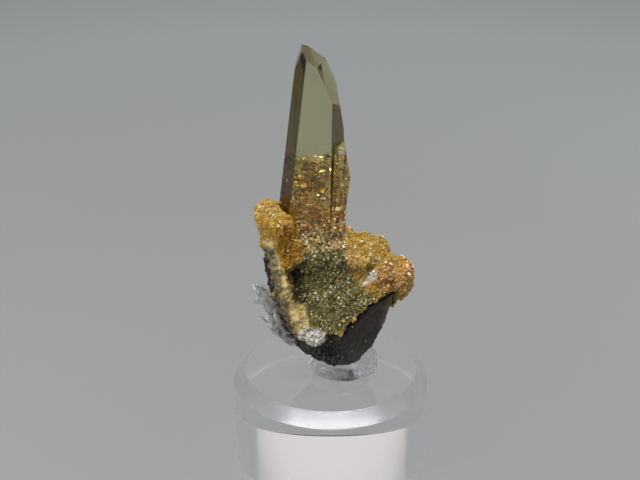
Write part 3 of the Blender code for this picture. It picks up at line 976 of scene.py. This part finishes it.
spray = {
    "node": "needle_spray",
    "slot": "white_needles",
    "count": 2000,
    "sheaves": 110,
    "lengths": (0.7, 1.9),
    "thickness": (0.02, 0.055),
    "heading": (-0.4, -0.3, 0.8),
    "outward": 0.3,
    "sheafSpread": 0.45,
    "needleSpread": 0.15,
    "rootSpread": 0.14,
    "buried": 0.55,
    "shift": (0.45, 0, 0),
    "rootEdge": 0.9,
    "tint": (0.40, 0.38, 0.37),
    "paleGlintTint": (0.95, 0.94, 0.93),
    "paleGlintShare": 0.42,
    "seed": 31,
    "look": {"grainScale": 6000.0, "shade": (0.85, 1.15), "rough": (0.2, 0.4), "bump": 0.0, "glow": 0.3},
}
rng = np.random.default_rng(spray["seed"])
roots, normals = scatter(nodeSurface(spray["node"]), spray["sheaves"], rng)
spread = rng.normal(0, spray["sheafSpread"], (spray["sheaves"], 3))
sheafHeads = unitLength(np.array(spray["heading"]) + spread + normals * spray["outward"])
inSheaf = rng.integers(0, spray["sheaves"], spray["count"])
headings = unitLength(sheafHeads[inSheaf] + rng.normal(0, spray["needleSpread"], (spray["count"], 3)))
starts = roots[inSheaf] + rng.normal(0, spray["rootSpread"], (spray["count"], 3))
lengths = rng.uniform(*spray["lengths"], spray["count"])
widths = rng.uniform(*spray["thickness"], spray["count"])
starts = starts - headings * (lengths * spray["buried"])[:, None] + np.array(spray["shift"])
inPlace = zoneShare(starts + headings * lengths[:, None], "needles") > 0.05
inPlace &= zoneShare(starts, "needles", spray["rootEdge"]) > 0.05
starts, headings, lengths, widths = starts[inPlace], headings[inPlace], lengths[inPlace], widths[inPlace]
sprayMesh = fibreMesh("needle_fibres", starts, headings, lengths, widths, rng, steps=2, curl=0.03)
sprayTint = variedTint(spray["tint"], 0.8, len(starts), rng)
# A share of the needles is painted near white: partly their own white colour, partly painted highlight.
sprayTint[rng.random(len(starts)) < spray["paleGlintShare"]] = spray["paleGlintTint"]
paintEach(sprayMesh, sprayTint)
whiteLook = crystalStone("whiteFibres", spray["look"])
placePiece("needle_fibres", sprayMesh, whiteLook, (spray["node"],))
print("needles done")


# White tuft at the bottom of the hollow, with grains round it

tuft = {
    "node": "white_tuft",
    "slot": "white_tuft",
    "fibres": 360,
    "lengths": (0.3, 0.9),
    "thickness": (0.03, 0.07),
    "fibreSpread": 0.45,
    "buried": 0.55,
    "fibreTint": (0.72, 0.66, 0.57),
    "grains": 620,
    "spreadGrains": 520,
    "grainSizes": (0.08, 0.32),
    "grainTint": (0.70, 0.63, 0.52),
    "shift": (0.25, 0, 0),
    "spreadSize": (1.5, 1.3, 1.1),
    "spreadReach": 0.8,
    "raised": 0.06,
    "seed": 41,
}
rng = np.random.default_rng(tuft["seed"])
tuftSurface = nodeSurface(tuft["node"])
starts, normals = scatter(tuftSurface, tuft["fibres"], rng)
headings = unitLength(normals + rng.normal(0, tuft["fibreSpread"], (tuft["fibres"], 3)))
lengths = rng.uniform(*tuft["lengths"], tuft["fibres"])
starts = starts - headings * (lengths * tuft["buried"])[:, None]
widths = rng.uniform(*tuft["thickness"], tuft["fibres"])
tuftMesh = fibreMesh("tuft_fibres", starts, headings, lengths, widths, rng, steps=3, curl=0.1)
paintEach(tuftMesh, variedTint(tuft["fibreTint"], 0.25, tuft["fibres"], rng))
placePiece("tuft_fibres", tuftMesh, whiteLook, (tuft["node"],))

lowCorner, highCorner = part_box(tuft["node"])
tuftCentre = (np.array(lowCorner) + np.array(highCorner)) / 2 / mm


def tuftWeight(centres, normals):
    away = np.linalg.norm((centres - tuftCentre + tuft["shift"]) / tuft["spreadSize"], axis=1)
    return np.exp(-(away / tuft["spreadReach"]) ** 3) + 1e-12


places, _ = scatter(tuftSurface, tuft["grains"], rng)
for neighbour in (crustSurface, shaleSurface):
    around, normals = scatter(neighbour, tuft["spreadGrains"], rng, tuftWeight)
    places = np.concatenate((places, around + normals * tuft["raised"]))
tuftSizes = skewed(tuft["grainSizes"], 1.6, len(places), rng)
tuftGrains = grainMesh("tuft_grains", places, tuftSizes, rng)
paintEach(tuftGrains, variedTint(tuft["grainTint"], 0.35, len(places), rng))
placePiece("tuft_grains", tuftGrains, whiteLook)
print("tuft done")


# Clear putty, pressed soft and a little lumpy round the rock

putty = {
    "node": "clear_putty",
    "slot": "clear_putty",
    "voxel": 0.16,
    "softenings": 3,
    "lumpSizes": (1.6, 0.7),
    "lumpHeights": (0.16, 0.05),
    "lumpsAbove": 13.25,
    "smooth": 60,
    "look": {"colour": (0.99, 0.99, 0.99), "ior": 1.38, "rough": (0.2, 0.4), "cloudScale": 900.0,
             "cloudMiddle": (0.35, 0.7)},
}


# Its lower side stays flat on the stand.
def puttyDepth(place, normal):
    return layered(place, putty["lumpSizes"], putty["lumpHeights"]) if place.z > putty["lumpsAbove"] else 0.0


puttyBody = remeshed(readNode(putty["node"]), putty["voxel"])
for _ in range(putty["softenings"]):
    bmesh.ops.smooth_vert(
        puttyBody, verts=puttyBody.verts, factor=0.5, use_axis_x=True, use_axis_y=True, use_axis_z=True
    )
displace(puttyBody, puttyDepth)
puttyMesh = meshFrom(puttyBody, "putty_pad")
puttyLook = clearSolid("clearPutty", putty["look"])
letLightIn(placePiece("putty_pad", puttyMesh, puttyLook, (putty["node"],), putty["smooth"]))
print("putty done")


# Acrylic stand, turned from its outline: polished, with a sanded sloping rim and underside

stand = {
    "node": "acrylic_stand",
    "slot": "clear_acrylic",
    "radius": 12.7,
    "height": 12.7,
    "bevel": 1.55,
    "round": 0.12,
    "steps": 192,
    "smooth": 5,
    "look": {"colour": (0.985, 0.99, 0.99), "ior": 1.49, "rough": 0.0},
    "rimLook": {"colour": (0.985, 0.985, 0.99), "ior": 1.49, "rough": 0.24},
    "footLook": {"colour": (0.985, 0.985, 0.99), "ior": 1.49, "rough": 0.15},
}
outer, tall, slope, soft = stand["radius"], stand["height"], stand["bevel"], stand["round"]
outline = [
    (0, 0), (outer - soft, 0), (outer - soft * 0.3, soft * 0.3), (outer, soft),
    (outer, tall - slope - soft * 0.7), (outer - soft * 0.2, tall - slope + soft * 0.2),
    (outer - slope + soft * 0.2, tall - soft * 0.2), (outer - slope - soft * 0.7, tall), (0, tall),
]
standBody = bmesh.new()
profile = [standBody.verts.new((r, 0, z)) for r, z in outline]
edges = [standBody.edges.new(pair) for pair in zip(profile, profile[1:])]
bmesh.ops.spin(
    standBody, geom=profile + edges, cent=(0, 0, 0), axis=(0, 0, 1), angle=math.tau, steps=stand["steps"],
    use_merge=True,
)
bmesh.ops.remove_doubles(standBody, verts=standBody.verts, dist=1e-4)
bmesh.ops.recalc_face_normals(standBody, faces=standBody.faces)
standBody.normal_update()
for face in standBody.faces:
    if 0.3 < face.normal.z < 0.95 and face.calc_center_median().z > tall - slope * 1.2:
        face.material_index = 1
    elif face.normal.z < -0.9:
        face.material_index = 2
standMesh = meshFrom(standBody, "stand_acrylic")
standPiece = placePiece(
    "stand_acrylic", standMesh, clearSolid("clearAcrylic", stand["look"]), (stand["node"],),
    stand["smooth"],
)
standMesh.materials.append(clearSolid("sandedAcrylic", stand["rimLook"]))
standMesh.materials.append(clearSolid("sandedFoot", stand["footLook"]))
letLightIn(standPiece)
print("stand done")


# Floor, one wide round sheet

sweep = {
    "radius": 700.0,
    "sides": 96,
    "below": 0.05,
    "paleAt": 400.0,
    "glowUnderStand": (12.1, 12.5),
    "glowColour": (0.345, 0.34, 0.335),
    "tones": [(0, (0.248, 0.250, 0.250)), (0.24, (0.280, 0.285, 0.284)), (0.71, (0.400, 0.410, 0.410)),
              (1, (0.44, 0.45, 0.45))],
}


def sweepMaterial():
    material, tree, shader = newMaterial("paleSweep")
    place = addNode(tree, "ShaderNodeTexCoord")
    reach = addNode(tree, "ShaderNodeVectorMath", operation="LENGTH")
    join(place, "Object", reach, 0)
    # A little paler with distance, which evens out the fall of the light.
    far = rangeNode(tree, reach.outputs["Value"], 0, 1, 0, sweep["paleAt"] * mm)
    tones = rampNode(tree, far.outputs["Result"], sweep["tones"])
    # Painted light: the floor under the clear stand glows evenly and takes no lamp light, standing in for the
    # light the stand carries down, so there is no shadow there.
    start, end = sweep["glowUnderStand"]
    outside = rangeNode(tree, reach.outputs["Value"], 0, 1, start * mm, end * mm)
    shaded = addNode(tree, "ShaderNodeVectorMath", operation="SCALE")
    join(tones, "Color", shaded, 0)
    join(outside, "Result", shaded, "Scale")
    join(shaded, "Vector", shader, "Base Color")
    inside = rangeNode(tree, outside.outputs["Result"], 1, 0)
    join(inside, "Result", shader, "Emission Strength")
    glow = (*sweep["glowColour"], 1)
    setInputs(shader, {"Emission Color": glow, "Roughness": 0.9, "Specular IOR Level": 0.1})
    return material


sweepBody = bmesh.new()
bmesh.ops.create_circle(
    sweepBody, cap_ends=True, segments=sweep["sides"], radius=sweep["radius"],
    matrix=Matrix.Translation((0, 0, -sweep["below"])),
)
sweepMesh = meshFrom(sweepBody, "sweep")
sweepMesh.materials.append(sweepMaterial())
sweepPiece = addObject("sweep", sweepMesh)


# Lights: soft boxes. "on" says whether one lights the stand, the floor or the specimen, and a box for the
# specimen has a twin for the floor without the specimen's shadow, as in a light tent.

warm = (1, 0.98, 0.95)
lights = {
    "overhead": {"on": "specimen", "at": (-30, -60, 250), "to": (0, 0, 30), "size": (150, 110),
                 "power": 0.42, "colour": warm},
    "leftFront": {"on": "specimen", "at": (-190, -150, 190), "to": (0, 0, 30), "size": (110, 110),
                  "power": 0.38, "colour": warm},
    "right": {"on": "specimen", "at": (230, 40, 160), "to": (0, 0, 25), "size": (70, 120),
              "power": 0.25, "colour": (0.93, 0.96, 1)},
    "standGlow": {"on": "stand", "at": (-15, -105, 250), "to": (0, 0, 12), "size": (170, 100),
                  "power": 0.4, "colour": (0.96, 0.93, 1)},
    "backCard": {"on": "stand", "at": (0, 420, 165), "to": (0, 0, 6), "size": (640, 330),
                 "power": 0.28, "colour": (1, 0.86, 0.84)},
    "wash": {"on": "floor", "at": (0, 260, 520), "to": (0, 330, 0), "size": (420, 300),
             "power": 1.5, "colour": (0.97, 0.99, 1)},
}


def linkedTo(name, pieces, state="INCLUDE"):
    group = bpy.data.collections.new(name)
    for piece in pieces:
        group.objects.link(piece)
    for entry in group.collection_objects:
        entry.light_linking.link_state = state
    return group


def addLamp(name, light, receivers, blockers=None):
    data = bpy.data.lights.new(name, "AREA")
    data.shape = "RECTANGLE"
    data.size, data.size_y = light["size"][0] * mm, light["size"][1] * mm
    data.energy = light["power"]
    data.color = light["colour"]
    lamp = addObject(name, data)
    lamp.location = Vector(light["at"]) * mm
    lamp.rotation_euler = (Vector(light["to"]) - Vector(light["at"])).to_track_quat("-Z", "Y").to_euler()
    lamp.visible_camera = False
    lamp.light_linking.receiver_collection = receivers
    if blockers:
        lamp.light_linking.blocker_collection = blockers
    return lamp


standAlone = linkedTo("standAlone", [standPiece])
floorAlone = linkedTo("floorAlone", [sweepPiece])
specimenOnly = linkedTo("specimenOnly", [standPiece, sweepPiece], "EXCLUDE")
for name, light in lights.items():
    if light["on"] == "stand":
        addLamp(name, light, standAlone)
    elif light["on"] == "floor":
        wash = addLamp(name, light, floorAlone, floorAlone)
        wash.visible_glossy = False
        wash.visible_transmission = False
    else:
        addLamp(name, light, specimenOnly)
        addLamp(name + "Floor", light, floorAlone, floorAlone)

# The room is dim as a light, and as pale as the floor where it is seen, also through the clear pieces.
room = {"colour": (0.93, 0.96, 1), "dim": 0.13, "pale": 0.36}
world = bpy.data.worlds.new("studio")
world.use_nodes = True
tree = world.node_tree
surround = tree.nodes["Background"]
surround.inputs["Color"].default_value = (*room["colour"], 1)
kindOfRay = addNode(tree, "ShaderNodeLightPath")
seen = addNode(tree, "ShaderNodeMath", operation="MAXIMUM")
join(kindOfRay, "Is Camera Ray", seen, 0)
join(kindOfRay, "Is Transmission Ray", seen, 1)
brightness = rangeNode(tree, seen.outputs["Value"], room["dim"], room["pale"])
join(brightness, "Result", surround, "Strength")
bpy.context.scene.world = world
print("lights done")


# Camera, at the photograph's angle

forward = Vector((0, math.cos(pitch), -math.sin(pitch)))
level = Vector((0, math.sin(pitch), math.cos(pitch)))
right = Vector((math.cos(roll), 0, 0)) + level * math.sin(roll)
up = right.cross(forward)
eye = (Vector(view["target"]) - forward * view["distance"]) * mm
cameraData = bpy.data.cameras.new("camera")
cameraData.sensor_width = view["sensor"]
cameraData.lens = view["lens"]
cameraData.clip_start = view["nearest"] * mm
camera = addObject("camera", cameraData)
camera.matrix_world = Matrix(
    [[right.x, up.x, -forward.x, eye.x], [right.y, up.y, -forward.y, eye.y],
     [right.z, up.z, -forward.z, eye.z], [0, 0, 0, 1]]
)
bpy.context.scene.camera = camera
bpy.context.scene.view_settings.view_transform = "Standard"
# Light that turns back many times inside the clear pieces still comes out of them.
bpy.context.scene.cycles.max_bounces = 40
bpy.context.scene.cycles.glossy_bounces = 24
bpy.context.scene.cycles.transmission_bounces = 40
